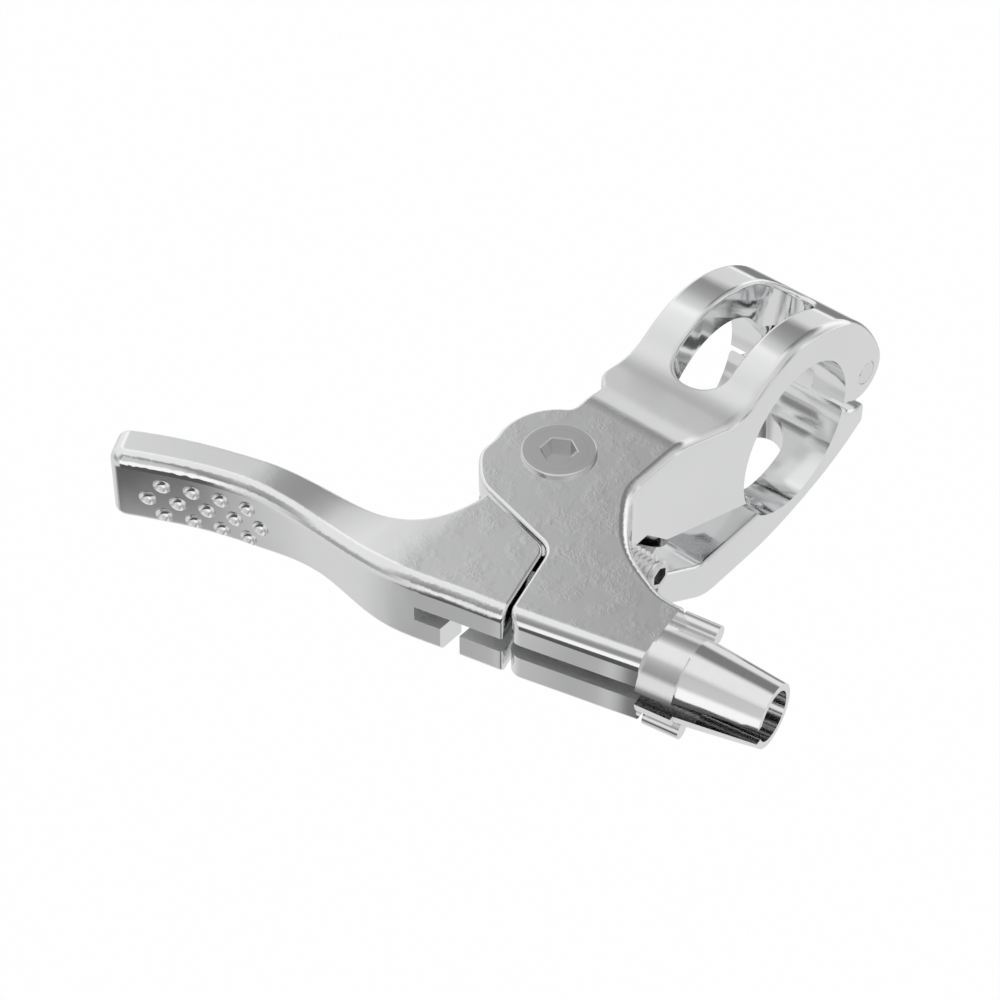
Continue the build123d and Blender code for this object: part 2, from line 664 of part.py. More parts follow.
def build_reach_screw():
    """Headless socket screw that stops the blade's heel."""
    inner_x = reach_outer_x - reach_length
    screw = rod((inner_x, reach_y, cable_z), (1, 0, 0), reach_diameter / 2, reach_length)
    screw = chamfer([rim_at(screw, inner_x, reach_y, cable_z)], 0.5)
    screw = chamfer([rim_at(screw, reach_outer_x, reach_y, cable_z)], 0.3)
    socket_plane = Plane(origin=(reach_outer_x - 2.0, reach_y, cable_z), x_dir=(0, 1, 0), z_dir=(1, 0, 0))
    return screw - extrude(socket_plane * hexagon(reach_socket_flats), 4, dir=(1, 0, 0))


def build_hinge_pin():
    """Plain pin of the clamp hinge, flush with both arms and chamfered at the ends."""
    pin = rod((-half_width, pin_y, pin_z), (1, 0, 0), pin_diameter / 2, clamp_width)
    ends = [rim_at(pin, side * half_width, pin_y, pin_z) for side in (-1, 1)]
    return chamfer(ends, pin_chamfer)


def build_clamp_bolt():
    """Socket-head bolt that enters from below and draws the clamp half up."""
    head = rod(
        (0, clamp_bolt_y, clamp_bolt_seat_z), (0, 0, -1),
        clamp_bolt_head_diameter / 2, clamp_bolt_head_height,
    )
    head_bottom = clamp_bolt_seat_z - clamp_bolt_head_height
    head = fillet([rim_at(head, 0, clamp_bolt_y, head_bottom)], 0.5)
    shank_length = clamp_bolt_top_z - clamp_bolt_seat_z
    shank = rod((0, clamp_bolt_y, clamp_bolt_seat_z), (0, 0, 1), clamp_bolt_diameter / 2, shank_length)
    shank = chamfer([rim_at(shank, 0, clamp_bolt_y, clamp_bolt_top_z)], 0.5)
    socket = prism_z(
        Pos(0, clamp_bolt_y) * hexagon(clamp_bolt_socket_flats), head_bottom - 1, head_bottom + 2.5,
    )
    return head + shank - socket


def along_cable(sketch, start, length):
    """A sketch drawn square to the cable line, x to the side and y up, carried along it from a distance."""
    plane = Plane(origin=body_end + cable_dir * start, x_dir=cable_side, z_dir=cable_dir)
    return extrude(plane * sketch, length, dir=cable_dir)


def cable_slit(start, length):
    """The open slot for slipping the cable in, from the cable line out of the front side."""
    slit = Pos(-stem_diameter, 0) * Rectangle(2 * stem_diameter, adjuster_slot)
    return along_cable(slit, start, length)


def build_lock_ring():
    """Lock ring against the body: round root, one wide grip lobe, three narrow ones and the cable slot."""
    wide = Circle(ring_diameter / 2)
    keep = [(0, 0)]
    for i in range(10):
        angle = radians(wide_lobe_start + (wide_lobe_end - wide_lobe_start) * i / 9)
        keep.append((20 * sin(angle), 20 * cos(angle)))
    wide &= Polygon(*keep, align=None)
    plan = Circle(ring_root_diameter / 2) + wide
    for lobe_angle in ring_lobe_angles:
        turn = radians(lobe_angle)
        plan += Pos(ring_lobe_circle / 2 * sin(turn), ring_lobe_circle / 2 * cos(turn)) * Circle(
            ring_lobe_diameter / 2,
        )
    ring = along_cable(plan, 0, ring_length)
    ring -= along_cable(Circle(stem_diameter / 2 + thread_clearance), -1, ring_length + 2)
    return ring - cable_slit(-1, ring_length + 2)


def build_adjuster():
    """Barrel adjuster: slotted cone with its housing socket, on a threaded stem that enters the body."""
    cone_plane = Plane(
        origin=body_end + cable_dir * (ring_length + cone_length / 2), x_dir=cable_side, z_dir=cable_dir,
    )
    barrel = cone_plane * Cone(cone_base_diameter / 2, cone_tip_diameter / 2, cone_length)
    stem = along_cable(Circle(stem_diameter / 2), -stem_length, stem_length + ring_length + 1)
    adjuster = barrel + stem
    adjuster -= along_cable(
        Circle(stem_bore / 2), -stem_length - 1, stem_length + ring_length + cone_length + 2,
    )
    mouth = ring_length + cone_length - housing_depth
    adjuster -= along_cable(Circle(housing_bore / 2), mouth, housing_depth + 1)
    return adjuster - cable_slit(-stem_length - 1, stem_length + ring_length + cone_length + 2)


bush = washer(
    pivot_shoulder_diameter / 2 + bearing_clearance,
    pivot_shoulder_diameter / 2 + bush_wall,
    fork_bottom_z + washer_thickness,
    fork_top_z - washer_thickness,
)
washer_inner = pivot_shoulder_diameter / 2 + 2 * bearing_clearance
parts = {
    "body": build_body(),
    "lever_blade": build_blade(),
    "pivot_bolt": build_pivot_bolt(),
    "pivot_nut": build_pivot_nut(),
    "pivot_bush": bush,
    "upper_washer": washer(washer_inner, washer_radius, fork_top_z - washer_thickness, fork_top_z),
    "lower_washer": washer(washer_inner, washer_radius, fork_bottom_z, fork_bottom_z + washer_thickness),
    "reach_screw": build_reach_screw(),
    "clamp_half": build_clamp_half_full(),
    "hinge_pin": build_hinge_pin(),
    "clamp_bolt": build_clamp_bolt(),
    "cable_adjuster": build_adjuster(),
    "lock_ring": build_lock_ring(),
}

os.makedirs("parts", exist_ok=True)
for name, solid in parts.items():
    export_step(solid, f"parts/{name}.step")
    print(name, "solids", len(solid.solids()), "volume", round(solid.volume, 2), "valid", solid.is_valid)
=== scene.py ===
from math import radians

import bmesh
import bpy
import numpy as np
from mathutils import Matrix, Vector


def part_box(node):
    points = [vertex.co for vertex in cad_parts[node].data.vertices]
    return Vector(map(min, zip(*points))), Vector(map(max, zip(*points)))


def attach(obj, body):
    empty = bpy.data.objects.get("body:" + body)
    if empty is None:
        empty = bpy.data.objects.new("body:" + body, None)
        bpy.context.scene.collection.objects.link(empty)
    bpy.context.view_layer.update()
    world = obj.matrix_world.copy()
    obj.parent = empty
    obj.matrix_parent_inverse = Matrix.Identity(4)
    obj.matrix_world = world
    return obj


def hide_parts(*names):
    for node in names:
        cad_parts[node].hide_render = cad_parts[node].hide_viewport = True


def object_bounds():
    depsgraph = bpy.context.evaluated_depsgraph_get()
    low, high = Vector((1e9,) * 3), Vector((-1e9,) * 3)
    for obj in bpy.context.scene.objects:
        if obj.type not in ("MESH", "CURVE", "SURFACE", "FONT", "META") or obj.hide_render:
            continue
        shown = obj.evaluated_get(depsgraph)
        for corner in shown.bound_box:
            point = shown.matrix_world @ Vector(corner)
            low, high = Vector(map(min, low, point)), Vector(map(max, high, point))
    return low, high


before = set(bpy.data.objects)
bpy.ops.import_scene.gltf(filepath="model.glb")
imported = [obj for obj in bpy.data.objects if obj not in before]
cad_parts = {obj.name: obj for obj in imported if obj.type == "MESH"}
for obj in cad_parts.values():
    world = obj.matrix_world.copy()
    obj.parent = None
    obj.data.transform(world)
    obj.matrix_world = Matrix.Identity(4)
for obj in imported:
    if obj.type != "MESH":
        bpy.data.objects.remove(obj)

cad_box = [list(corner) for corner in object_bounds()]


# The camera looks down at the lever from the adjuster's side, a little over forty degrees above the plate.
# Its lens and place come from the handlebar bore's circle and the plate's edges in the photograph.
camera_data = bpy.data.cameras.new("lever_camera")
camera_data.sensor_width = 36.0
camera_data.lens = 113.4
camera_data.clip_start = 0.01
camera = bpy.data.objects.new("lever_camera", camera_data)
camera.location = (0.17188, -0.25641, 0.27399)
camera.rotation_euler = (radians(46.5697), radians(-0.1743), radians(39.765))
bpy.context.scene.collection.objects.link(camera)
bpy.context.scene.camera = camera


# The studio is a light tent of pale and grey panels with a brighter roof, so that the polished metal shows
# soft greys. The lowest part of its walls, the skirting, has its own pattern, and the backdrop is plain
# white.
class Wire:
    """A value in a node tree that can be used in sums. Each sum adds one Math node."""

    def __init__(self, tree, socket):
        self.tree = tree
        self.socket = socket

    def add(self, kind, settings=None, **inputs):
        """Any other node: its type, its settings, which are set first, and its sockets' values or links."""
        node = self.tree.nodes.new(kind)
        for key, value in (settings or {}).items():
            if key == "stops":
                ramp = node.color_ramp
                while len(ramp.elements) < len(value):
                    ramp.elements.new(1.0)
                for stop, (place, colour) in zip(ramp.elements, value):
                    stop.position = place
                    stop.color = (*colour, 1.0)
            else:
                setattr(node, key, value)
        for key, value in inputs.items():
            name = key.replace("_", " ")
            by_number = name[:1] == "i" and name[1:].isdigit()
            socket = node.inputs[int(name[1:]) if by_number else name]
            if isinstance(value, Wire):
                self.tree.links.new(value.socket, socket)
            else:
                socket.default_value = value
        return node

    def wire(self, node, output=0):
        return Wire(self.tree, node.outputs[output])

    def maths(self, operation, *values):
        inputs = {f"i{i}": value for i, value in enumerate(values)}
        return self.wire(self.add("ShaderNodeMath", {"operation": operation}, **inputs))

    def __add__(self, other):
        return self.maths("ADD", self, other)

    def __radd__(self, other):
        return self.maths("ADD", other, self)

    def __sub__(self, other):
        return self.maths("SUBTRACT", self, other)

    def __rsub__(self, other):
        return self.maths("SUBTRACT", other, self)

    def __mul__(self, other):
        return self.maths("MULTIPLY", self, other)

    def __rmul__(self, other):
        return self.maths("MULTIPLY", other, self)

    def clamp(self, low, high):
        return self.maths("MINIMUM", self.maths("MAXIMUM", self, low), high)


room = bpy.data.worlds.new("light_tent")
bpy.context.scene.world = room
room.use_nodes = True
room.node_tree.nodes.clear()
sky = Wire(room.node_tree, None)
direction = sky.add("ShaderNodeSeparateXYZ", i0=sky.wire(sky.add("ShaderNodeTexCoord")))
towards_x, towards_y, height = (sky.wire(direction, i) for i in range(3))
turn = sky.maths("ARCTAN2", towards_y, towards_x) * (0.5 / np.pi) + 0.5


def grey(value):
    return (value, value, value)


def round_the_room(*stops):
    """Brightness round the tent as colour-ramp stops. Each pair is an angle in degrees from +X and a
    brightness."""
    return [((angle + 180.0) / 360.0, grey(value)) for angle, value in stops]


panels = sky.add(
    "ShaderNodeValToRGB",
    {"stops": round_the_room(
        (-180, 0.89), (-138, 0.90), (-126, 0.82), (-114, 0.55), (-102, 0.36), (-96, 0.28), (-88, 0.68),
        (-54, 0.60), (-30, 0.75), (-10, 0.84), (30, 0.66), (54, 0.64), (66, 0.45), (78, 0.36),
        (90, 0.26), (108, 0.22), (119, 0.30),
        (126, 0.42), (130, 0.56), (134, 0.67), (140, 0.78), (146, 1.02), (153, 1.08), (162, 0.94),
        (180, 0.89),
    )},
    i0=turn,
)
skirting = sky.add(
    "ShaderNodeValToRGB",
    {"stops": round_the_room(
        (-180, 0.90), (-165, 0.80), (-150, 0.52), (-135, 0.40), (-114, 0.50), (-102, 0.75), (-92, 1.12),
        (-72, 1.08), (-54, 0.85), (-20, 0.60), (6, 0.52), (18, 0.75), (30, 0.38), (42, 0.90), (54, 0.56),
        (66, 0.80), (86, 1.15), (110, 0.85), (124, 0.66), (138, 1.00), (150, 0.90), (180, 0.92),
    )},
    i0=turn,
)
skirting_top = 0.28
roof_edge = 0.84
roof_grey = 0.92
above_skirting = ((height - skirting_top) * 6.0).clamp(0.0, 1.0)
sides = sky.add(
    "ShaderNodeMix", {"data_type": "RGBA"},
    i0=above_skirting, i6=sky.wire(skirting), i7=sky.wire(panels),
)
overhead = ((height - roof_edge) * 10.0).clamp(0.0, 1.0)
lit_tent = sky.add(
    "ShaderNodeMix", {"data_type": "RGBA"},
    i0=overhead, i6=sky.wire(sides, 2), i7=(*grey(roof_grey), 1.0),
)
rays = sky.add("ShaderNodeLightPath")
seen = sky.wire(rays, "Is Camera Ray")
wall = sky.add("ShaderNodeBackground", Color=(1.0, 1.0, 1.0, 1.0), Strength=1.0)
light = sky.add("ShaderNodeBackground", Color=sky.wire(lit_tent, 2), Strength=1.0)
backdrop = sky.add("ShaderNodeMixShader", i0=seen, i1=sky.wire(light), i2=sky.wire(wall))
sky.add("ShaderNodeOutputWorld", Surface=sky.wire(backdrop))


# The table is a plain white card well under the lever, so only a faint soft shadow falls on it. What the
# metal mirrors of it is a second card just above, which only reflections see: a glowing sheet of painted
# reflection. Its near end is painted dark as shade, so the finger pad and the front of the perch show a
# painted dark reflection.
def flat_sheet(name, x_low, x_high, y_low, y_high, z):
    """One level rectangle."""
    mesh = bpy.data.meshes.new(name)
    mesh.from_pydata(
        [(x_low, y_low, z), (x_high, y_low, z), (x_high, y_high, z), (x_low, y_high, z)], [], [(0, 1, 2, 3)],
    )
    sheet = bpy.data.objects.new(name, mesh)
    bpy.context.scene.collection.objects.link(sheet)
    return sheet


table_height = cad_box[0][2] - 0.17
table_reach = 2.0
table = flat_sheet("table", -table_reach, table_reach, -table_reach, table_reach, table_height)
table_finish = bpy.data.materials.new("white_card")
table_finish.use_nodes = True
table_finish.node_tree.nodes.clear()
card = Wire(table_finish.node_tree, None)
card_rays = card.add("ShaderNodeLightPath")
shown = card.wire(card_rays, "Is Camera Ray") + card.wire(card_rays, "Is Glossy Ray")
shown = (shown + card.wire(card_rays, "Is Transmission Ray")).clamp(0.0, 1.0)
lit = card.add("ShaderNodeBsdfDiffuse", Color=(0.9, 0.9, 0.9, 1.0))
plain = card.add("ShaderNodeEmission", Color=(1.0, 1.0, 1.0, 1.0), Strength=1.0)
card_mix = card.add("ShaderNodeMixShader", i0=shown * 0.985, i1=card.wire(lit), i2=card.wire(plain))
card.add("ShaderNodeOutputMaterial", Surface=card.wire(card_mix))
table.data.materials.append(table_finish)

mirrored_height = table_height + 0.001
mirrored = flat_sheet("mirrored_card", -table_reach, table_reach, -table_reach, table_reach, mirrored_height)
mirrored.visible_camera = False
mirrored.visible_diffuse = False
mirrored.visible_shadow = False
mirrored_finish = bpy.data.materials.new("painted_shade_card")
mirrored_finish.use_nodes = True
mirrored_finish.node_tree.nodes.clear()
dim = Wire(mirrored_finish.node_tree, None)
spot = dim.add("ShaderNodeSeparateXYZ", i0=dim.wire(dim.add("ShaderNodeTexCoord"), "Object"))
x = dim.wire(spot, 0)
y = dim.wire(spot, 1)
# Painted reflection: grey bands across the near end of the card, which the finger pad and perch front
# mirror.
falloff = dim.add(
    "ShaderNodeValToRGB",
    {"stops": [
        (0.000, grey(0.76)), (0.180, grey(0.73)), (0.300, grey(0.56)), (0.380, grey(0.46)),
        (0.425, grey(0.48)), (0.450, grey(0.62)), (0.466, grey(0.50)), (0.484, grey(0.20)),
        (0.540, grey(0.16)), (0.700, grey(0.30)), (1.000, grey(0.74)),
    ]},
    i0=(x + 0.25) * 2.0,
)
card_grey = 0.76
# Painted shade and light: the near end, its nearest corner and a patch behind the lever are painted darker,
# and the far end is painted brighter than white.
painted_shade_near_end = ((-0.12 - y) * 20.0).clamp(0.0, 1.0)
nearest = ((-0.262 - y) * 40.0).clamp(0.0, 1.0) * ((x + 0.12) * 15.0).clamp(0.0, 1.0)
painted_shade_behind = ((y - 0.25) * 8.0).clamp(0.0, 1.0) * ((x + 0.6) * 5.0).clamp(0.0, 1.0)
painted_shade_behind = painted_shade_behind * ((0.05 - x) * 6.0).clamp(0.0, 1.0)
painted_light_far_end = ((y - 1.0) * 3.0).clamp(0.0, 1.0)
dull = dim.wire(dim.add(
    "ShaderNodeMix", {"data_type": "RGBA"}, i0=painted_shade_near_end, i6=(*grey(card_grey), 1.0), i7=dim.wire(falloff),
), 2)
for share, level in ((nearest, 0.10), (painted_shade_behind, 0.24), (painted_light_far_end, 1.05)):
    dull = dim.wire(dim.add(
        "ShaderNodeMix", {"data_type": "RGBA"}, i0=share, i6=dull, i7=(*grey(level), 1.0),
    ), 2)
glow = dim.add("ShaderNodeEmission", Color=dull, Strength=1.0)
dim.add("ShaderNodeOutputMaterial", Surface=dim.wire(glow))
mirrored.data.materials.append(mirrored_finish)


# The perch is one aluminium forging, machined for the bar, the pivot and the adjuster, then polished.
# Its long edges are rounded over, and the polish leaves a fine orange-peel ripple in the flat top.
def mesh_arrays(mesh):
    """Face normals, areas and middles, and the vertex and face of each corner."""
    faces = len(mesh.polygons)
    normals = np.zeros(faces * 3)
    areas = np.zeros(faces)
    middles = np.zeros(faces * 3)
    corners = np.zeros(faces, int)
    vertices = np.zeros(len(mesh.loops), int)
    mesh.polygons.foreach_get("normal", normals)
    mesh.polygons.foreach_get("area", areas)
    mesh.polygons.foreach_get("center", middles)
    mesh.polygons.foreach_get("loop_total", corners)
    mesh.loops.foreach_get("vertex_index", vertices)
    owners = np.repeat(np.arange(faces), corners)
    return normals.reshape(-1, 3), areas, middles.reshape(-1, 3), vertices, owners


def unit(vectors):
    return vectors / np.maximum(np.linalg.norm(vectors, axis=-1, keepdims=True), 1e-12)


def corner_normals(mesh, crease):
    """Shading normal of each corner: the sum of area * normal over the faces at its vertex that lie within
    the crease angle of its own face, so that a large flat face stays flat up to its rounded edge."""
    normals, areas, middles, vertices, owners = mesh_arrays(mesh)
    order = np.argsort(vertices, kind="stable")
    counts = np.bincount(vertices, minlength=len(mesh.vertices))
    starts = np.concatenate([[0], np.cumsum(counts)[:-1]])
    mine = vertices[order]
    first = np.repeat(order, counts[mine])
    before = np.cumsum(counts[mine]) - counts[mine]
    step = np.arange(len(first)) - np.repeat(before, counts[mine])
    second = order[np.repeat(starts[mine], counts[mine]) + step]
    near = (normals[owners[first]] * normals[owners[second]]).sum(1) > np.cos(radians(crease))
    shares = normals[owners[second]] * (areas[owners[second]] * near)[:, None]
    sums = [np.bincount(first, shares[:, axis], minlength=len(vertices)) for axis in range(3)]
    return unit(np.stack(sums, 1) + normals[owners] * 1e-12)


def even_walls(mesh, corner, reach=0.0016):
    """Upright walls with long curves: each of their corners takes the mean of the wall faces around it,
    weighted by area * exp(-(distance / reach) ** 2) and by how far they face the same way. Rounded edges
    that leave the wall smoothly start with the same normal."""
    normals, areas, middles, vertices, owners = mesh_arrays(mesh)
    upright = np.abs(normals[:, 2]) < 0.03
    places = np.zeros(len(mesh.vertices) * 3)
    mesh.vertices.foreach_get("co", places)
    places = places.reshape(-1, 3)
    chosen = np.flatnonzero(upright[owners])
    wall_normals = normals[upright]
    wall_areas = areas[upright]
    wall_middles = middles[upright]
    for part in np.array_split(chosen, max(1, len(chosen) // 1500)):
        gap = np.linalg.norm(places[vertices[part]][:, None, :] - wall_middles[None], axis=2)
        agree = np.clip(normals[owners[part]] @ wall_normals.T * 5.0 - 4.0, 0.0, 1.0)
        weight = wall_areas * np.exp(-(gap / reach) ** 2) * agree
        corner[part] = unit(weight @ wall_normals + normals[owners[part]] * 1e-12)
    total = len(mesh.vertices)
    held = np.bincount(vertices[chosen], minlength=total)
    sums = [np.bincount(vertices[chosen], corner[chosen, axis], minlength=total) for axis in range(3)]
    sums = np.stack(sums, 1)
    agreed = np.linalg.norm(sums, axis=1) > 0.98 * np.maximum(held, 1)
    shared = unit(sums)[vertices]
    smooth = (normals[owners] * shared).sum(1) > np.cos(radians(25.0))
    start = ~upright[owners] & agreed[vertices] & smooth
    corner[start] = shared[start]
    return corner


def skin(node, body, finish, crease=32.0):
    """A copy of a solid's mesh: loose triangles joined, flat faces made whole, and shading normals that
    keep flat faces flat and long curved walls even."""
    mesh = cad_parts[node].data.copy()
    mesh.name = f"{node}_skin"
    joined = bmesh.new()
    joined.from_mesh(mesh)
    bmesh.ops.remove_doubles(joined, verts=joined.verts, dist=2e-6)
    bmesh.ops.dissolve_limit(joined, angle_limit=radians(0.2), verts=joined.verts, edges=joined.edges)
    joined.to_mesh(mesh)
    joined.free()
    mesh.polygons.foreach_set("use_smooth", np.ones(len(mesh.polygons), bool))
    mesh.normals_split_custom_set(even_walls(mesh, corner_normals(mesh, crease)).tolist())
    mesh.materials.clear()
    mesh.materials.append(finish)
    piece = bpy.data.objects.new(f"{node}_skin", mesh)
    bpy.context.scene.collection.objects.link(piece)
    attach(piece, body)
    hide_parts(node)
    return piece


def polished_forging(name, shade, roughness, ripple, plate_top, slot_levels):
    """Polished aluminium, faintly clouded. The flat top keeps an orange peel of half a millimetre, in
    patches a few millimetres wide. The wheel hardly reaches the valley before the clamp arms, so it is
    satin. The floor and roof of the cable slot, at the two slot levels, are left as milled, so they are
    duller."""
    finish = bpy.data.materials.new(name)
    finish.use_nodes = True
    finish.node_tree.nodes.clear()
    w = Wire(finish.node_tree, None)
    coordinates = w.add("ShaderNodeTexCoord")
    place = w.wire(coordinates, "Object")
    spot = w.add("ShaderNodeSeparateXYZ", i0=place)
    x, y, z = (w.wire(spot, i) for i in range(3))
    cloud = w.wire(w.add("ShaderNodeTexNoise", Vector=place, Scale=90.0, Detail=3.0))
    patches = w.wire(w.add("ShaderNodeTexNoise", Vector=place, Scale=330.0, Detail=2.0))
    patches = ((patches - 0.40) * 4.0).clamp(0.15, 1.0)
    top = ((z - (plate_top - 0.0003)) * 5000.0).clamp(0.0, 1.0)
    top = top * ((-0.022 - y) * 400.0).clamp(0.0, 1.0) * ((x + 0.034) * 70.0).clamp(0.0, 1.0)
    peel = w.wire(w.add("ShaderNodeTexNoise", Vector=place, Scale=1300.0, Detail=3.0, Distortion=1.6))
    grain = w.wire(w.add("ShaderNodeTexNoise", Vector=place, Scale=5200.0, Detail=1.0))
    milled = w.maths("LESS_THAN", w.maths("ABSOLUTE", z - slot_levels[0]), 0.00004)
    milled = milled + w.maths("LESS_THAN", w.maths("ABSOLUTE", z - slot_levels[1]), 0.00004)
    facing = w.wire(w.add("ShaderNodeSeparateXYZ", i0=w.wire(coordinates, "Normal")), 2)
    milled = milled * w.maths("GREATER_THAN", w.maths("ABSOLUTE", facing), 0.9)
    valley = ((y + 0.0225) * 400.0).clamp(0.0, 1.0) * ((-0.0035 - y) * 250.0).clamp(0.0, 1.0)
    valley = valley * ((z - 0.0085) * 2000.0).clamp(0.0, 1.0)
    valley = valley * ((facing - 0.55) * 6.0).clamp(0.0, 1.0)
    tone = cloud * 0.05 + (shade - 0.025)
    colour = w.add("ShaderNodeCombineColor", Red=tone, Green=tone * 1.002, Blue=tone * 1.006)
    lift = peel * patches * top + grain * 0.03 + cloud * 0.2
    bump = w.add("ShaderNodeBump", Strength=ripple, Distance=0.0001, Height=lift)
    dullness = cloud * 0.05 + top * 0.02 + milled * 0.45 + valley * 0.34 + (roughness - 0.03)
    shader = w.add(
        "ShaderNodeBsdfPrincipled", Base_Color=w.wire(colour), Metallic=1.0, Roughness=dullness,
        Normal=w.wire(bump),
    )
    w.add("ShaderNodeOutputMaterial", Surface=w.wire(shader))
    return finish


cable_height = (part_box("cable_adjuster")[0][2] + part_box("cable_adjuster")[1][2]) / 2
slot_half = 0.00105
slot_levels = (cable_height - slot_half, cable_height + slot_half)
head_stands_proud = 0.0005
plate_top = cad_box[1][2] - head_stands_proud
forging = polished_forging("polished_forging", 0.84, 0.10, 0.25, plate_top, slot_levels)
skin("body", "perch", forging)


# The blade is a second forging, finished like the perch. Its tongue runs in the perch's fork on a bushed
# pivot. The thirteen grip dimples are milled with a ball cutter, and the cable-end pocket is bored from
# below.
skin("lever_blade", "blade", forging)


# The lower clamp half is forged and polished like the perch. It hangs on the hinge pin by its knuckle and
# closes under the handlebar when the clamp bolt draws its flange up.
skin("clamp_half", "clamp", forging)


# The barrel adjuster and its lock ring are turned from aluminium bar, so fine turning lines run round them,
# and a slitting saw cuts the slot that lets the cable in.
def turned_metal(name, shade, roughness, centre, turn, tint=(1.0, 1.0, 1.0)):
    """Turned metal. In the piece's own frame, with x along its axis, r = sqrt(y * y + z * z), and the tool
    marks are a noise of (r, x), so they run round it on faces and sides alike."""
    finish = bpy.data.materials.new(name)
    finish.use_nodes = True
    finish.node_tree.nodes.clear()
    w = Wire(finish.node_tree, None)
    place = w.wire(w.add("ShaderNodeTexCoord"), "Object")
    own = w.add(
        "ShaderNodeMapping", {"vector_type": "TEXTURE"}, Vector=place, Location=centre, Rotation=turn,
    )
    spot = w.add("ShaderNodeSeparateXYZ", i0=w.wire(own))
    x, y, z = (w.wire(spot, i) for i in range(3))
    radius = w.maths("SQRT", y * y + z * z)
    rings = w.add("ShaderNodeCombineXYZ", X=radius * 6000.0, Y=x * 6000.0)
    lines = w.wire(w.add("ShaderNodeTexNoise", Vector=w.wire(rings), Scale=1.0, Detail=2.0))
    cloud = w.wire(w.add("ShaderNodeTexNoise", Vector=place, Scale=260.0, Detail=3.0))
    tone = cloud * 0.06 + lines * 0.06 + (shade - 0.06)
    colour = w.add("ShaderNodeCombineColor", Red=tone * tint[0], Green=tone * tint[1], Blue=tone * tint[2])
    bump = w.add("ShaderNodeBump", Strength=0.03, Distance=0.00005, Height=lines + cloud * 0.3)
    shader = w.add(
        "ShaderNodeBsdfPrincipled", Base_Color=w.wire(colour), Metallic=1.0,
        Roughness=lines * 0.08 + (roughness - 0.04), Normal=w.wire(bump),
    )
    w.add("ShaderNodeOutputMaterial", Surface=w.wire(shader))
    return finish


cable_angle = radians(8.5)
ring_low, ring_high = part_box("lock_ring")
ring_middle = tuple((low + high) / 2 for low, high in zip(ring_low, ring_high))
adjuster_finish = turned_metal("turned_aluminium", 0.84, 0.12, ring_middle, (0.0, 0.0, cable_angle))
skin("cable_adjuster", "adjuster", adjuster_finish)
skin("lock_ring", "ring", adjuster_finish)


# The pivot's screw, nut and washers are turned steel and the bush is bronze. The screw goes in from above,
# its head stands a little proud of the plate, and its hexagon socket is broached.
def turned_piece(name, node, body, finish, axis, across, distance, radius):
    """A closed surface turned about an axis through the middle of a solid's box, its face centres closed:
    point = middle + axis * distance + radius * (across * cos(v) + (axis x across) * sin(v))."""
    low, high = (np.array(corner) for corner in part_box(node))
    axis = np.array(axis, float)
    across = np.array(across, float)
    rows, around = radius.shape
    v = np.linspace(0.0, 2 * np.pi, around, endpoint=False)
    rim = np.outer(np.cos(v), across) + np.outer(np.sin(v), np.cross(axis, across))
    along = distance[:, None] * axis
    grid = (low + high) / 2 + along[:, None, :] + radius[:, :, None] * rim
    poles = (low + high) / 2 + along[[0, -1]]
    points = np.vstack([grid.reshape(-1, 3), poles])
    i, j = np.meshgrid(np.arange(rows - 1), np.arange(around), indexing="ij")
    k = (j + 1) % around
    sides = np.stack([i * around + j, i * around + k, (i + 1) * around + k, (i + 1) * around + j], -1)
    first = np.arange(around)
    second = (first + 1) % around
    last = (rows - 1) * around
    start = np.stack([np.full(around, rows * around), second, first], -1)
    end = np.stack([np.full(around, rows * around + 1), last + first, last + second], -1)
    mesh = bpy.data.meshes.new(name)
    mesh.from_pydata(points.tolist(), [], sides.reshape(-1, 4).tolist() + start.tolist() + end.tolist())
    mesh.polygons.foreach_set("use_smooth", np.ones(len(mesh.polygons), bool))
    mesh.normals_split_custom_set(corner_normals(mesh, 28.0).tolist())
    mesh.materials.append(finish)
    piece = bpy.data.objects.new(name, mesh)
    bpy.context.scene.collection.objects.link(piece)
    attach(piece, body)
    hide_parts(node)
    return piece


def profile(*corners, around=96):
    """Rows of a turned profile: each corner is a distance and a radius, one number or one for each
    angle."""
    distance = np.array([corner[0] for corner in corners])
    radius = np.array([np.broadcast_to(corner[1], around) for corner in corners])
    return distance, radius


def hexagon_socket(flats, around=96):
    """Distance from the axis to a hexagon's wall: flats / 2 / cos(angle from the middle of the nearest
    flat)."""
    v = np.linspace(0.0, 2 * np.pi, around, endpoint=False)
    return flats / 2 / np.cos((v + np.pi / 6) % (np.pi / 3) - np.pi / 6)


def thread(start, end, radius, pitch, depth, around=96):
    """A cut thread: radius - depth * |2 * frac(s / pitch - v / 2 pi) - 1|, which runs out over one pitch at
    each end."""
    v = np.linspace(0.0, 2 * np.pi, around, endpoint=False)
    s = np.linspace(start, end, int((end - start) / pitch * 10) + 1)
    flank = np.abs(2 * ((s[:, None] / pitch - v / (2 * np.pi)) % 1.0) - 1)
    run_out = np.clip(np.minimum(s - start, end - s) / pitch, 0.0, 1.0)
    return s, radius - depth * flank * run_out[:, None]


def stack(*rows):
    """Profiles put one after another."""
    return np.concatenate([row[0] for row in rows]), np.vstack([row[1] for row in rows])


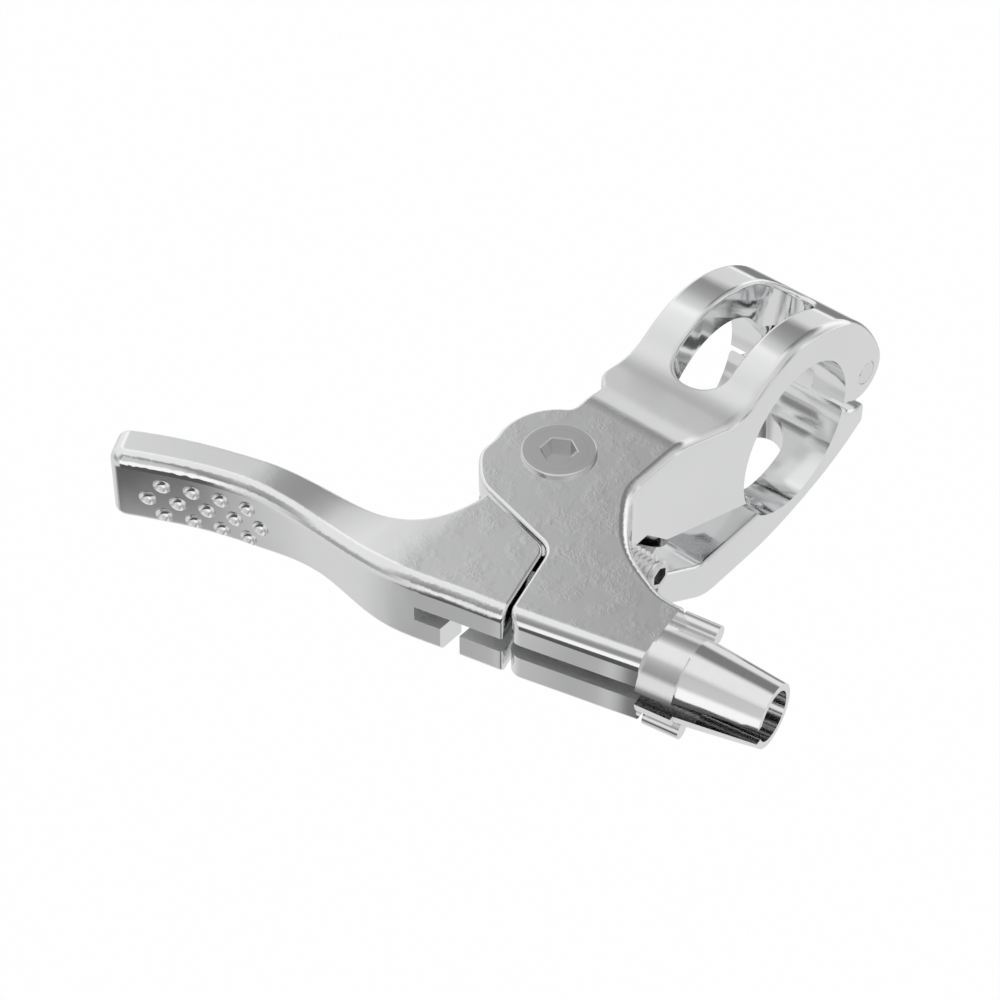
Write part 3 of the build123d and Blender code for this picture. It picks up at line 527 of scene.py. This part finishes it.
upright = (0.0, radians(-90.0), 0.0)
bolt_low, bolt_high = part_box("pivot_bolt")
bolt_middle = tuple((low + high) / 2 for low, high in zip(bolt_low, bolt_high))
head_radius = (bolt_high[0] - bolt_low[0]) / 2
half_length = (bolt_high[2] - bolt_low[2]) / 2
pivot_steel = turned_metal("turned_steel", 0.68, 0.15, bolt_middle, upright)
socket = hexagon_socket(0.004)
head_seat = half_length - 0.002
distance, radius = profile(
    (-half_length, 0.0022), (-half_length + 0.0003, 0.0025), (-half_length + 0.0032, 0.0025),
    (-half_length + 0.0032, 0.003), (head_seat, 0.003), (head_seat, head_radius),
    (half_length - 0.00022, head_radius), (half_length - 0.00008, head_radius - 0.00005),
    (half_length, head_radius - 0.0002),
    (half_length, socket + 0.00015), (half_length - 0.00015, socket), (half_length - 0.0014, socket),
)
turned_piece(
    "pivot_screw", "pivot_bolt", "perch", pivot_steel, (0, 0, 1), (1, 0, 0), distance, radius,
)
skin("pivot_nut", "perch", pivot_steel)
skin("upper_washer", "blade", pivot_steel)
skin("lower_washer", "blade", pivot_steel)
bronze = turned_metal("bearing_bronze", 0.55, 0.28, bolt_middle, upright, tint=(1.0, 0.78, 0.50))
skin("pivot_bush", "blade", bronze)


# The reach screw is a hardened steel grub screw with an M4 thread. It is screwed into the perch from the
# side and stops the blade's heel.
screw_low, screw_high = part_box("reach_screw")
screw_middle = tuple((low + high) / 2 for low, high in zip(screw_low, screw_high))
screw_half = (screw_high[0] - screw_low[0]) / 2
screw_radius = (screw_high[1] - screw_low[1]) / 2
screw_steel = turned_metal("hardened_steel", 0.74, 0.20, screw_middle, (0.0, 0.0, 0.0))
socket = hexagon_socket(0.002)
distance, radius = stack(
    profile((-screw_half, screw_radius - 0.0005)),
    thread(-screw_half + 0.0005, screw_half - 0.0003, screw_radius, 0.0007, 0.00038),
    profile(
        (screw_half, screw_radius - 0.0003), (screw_half, socket + 0.0001), (screw_half - 0.002, socket),
    ),
)
turned_piece(
    "reach_screw_cut", "reach_screw", "reach", screw_steel, (1, 0, 0), (0, 1, 0), distance, radius,
)


# The hinge pin is a plain ground steel pin through both arms and the knuckle. It is chamfered at both ends
# and sits flush with the arms.
pin_low, pin_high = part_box("hinge_pin")
pin_middle = tuple((low + high) / 2 for low, high in zip(pin_low, pin_high))
pin_half = (pin_high[0] - pin_low[0]) / 2
pin_radius = (pin_high[1] - pin_low[1]) / 2
pin_chamfer = 0.0002
pin_steel = turned_metal("ground_steel", 0.80, 0.14, pin_middle, (0.0, 0.0, 0.0))
distance, radius = profile(
    (-pin_half, pin_radius - pin_chamfer), (-pin_half + pin_chamfer, pin_radius),
    (pin_half - pin_chamfer, pin_radius), (pin_half, pin_radius - pin_chamfer),
)
turned_piece(
    "hinge_pin_ground", "hinge_pin", "perch", pin_steel, (1, 0, 0), (0, 1, 0), distance, radius,
)


# The clamp bolt is a steel M5 socket-head bolt with a knurled head. It comes in from below through the
# clamp half's sunk hole and screws into the perch.
clamp_low, clamp_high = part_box("clamp_bolt")
clamp_middle = tuple((low + high) / 2 for low, high in zip(clamp_low, clamp_high))
clamp_half_length = (clamp_high[2] - clamp_low[2]) / 2
clamp_head = (clamp_high[0] - clamp_low[0]) / 2
bolt_steel = turned_metal("zinc_plated_steel", 0.50, 0.22, clamp_middle, upright)
socket = hexagon_socket(0.004, around=192)
v = np.linspace(0.0, 2 * np.pi, 192, endpoint=False)
knurl = clamp_head - 0.00012 * (1 - np.abs(np.cos(24 * v)))
under_head = clamp_half_length - 0.005
distance, radius = stack(
    profile((-clamp_half_length, 0.002), around=192),
    thread(-clamp_half_length + 0.0005, -clamp_half_length + 0.013, 0.0025, 0.0008, 0.00042, around=192),
    profile(
        (under_head, 0.0025), (under_head, clamp_head - 0.0003), (under_head + 0.0003, knurl),
        (clamp_half_length - 0.0009, knurl), (clamp_half_length - 0.0005, clamp_head - 0.00012),
        (clamp_half_length - 0.00015, clamp_head - 0.00025), (clamp_half_length, clamp_head - 0.0006),
        (clamp_half_length, socket + 0.00015), (clamp_half_length - 0.00015, socket),
        (clamp_half_length - 0.0025, socket), around=192,
    ),
)
turned_piece(
    "clamp_bolt_cut", "clamp_bolt", "bolt", bolt_steel, (0, 0, -1), (1, 0, 0), distance, radius,
)


bpy.context.scene.view_settings.view_transform = "Standard"
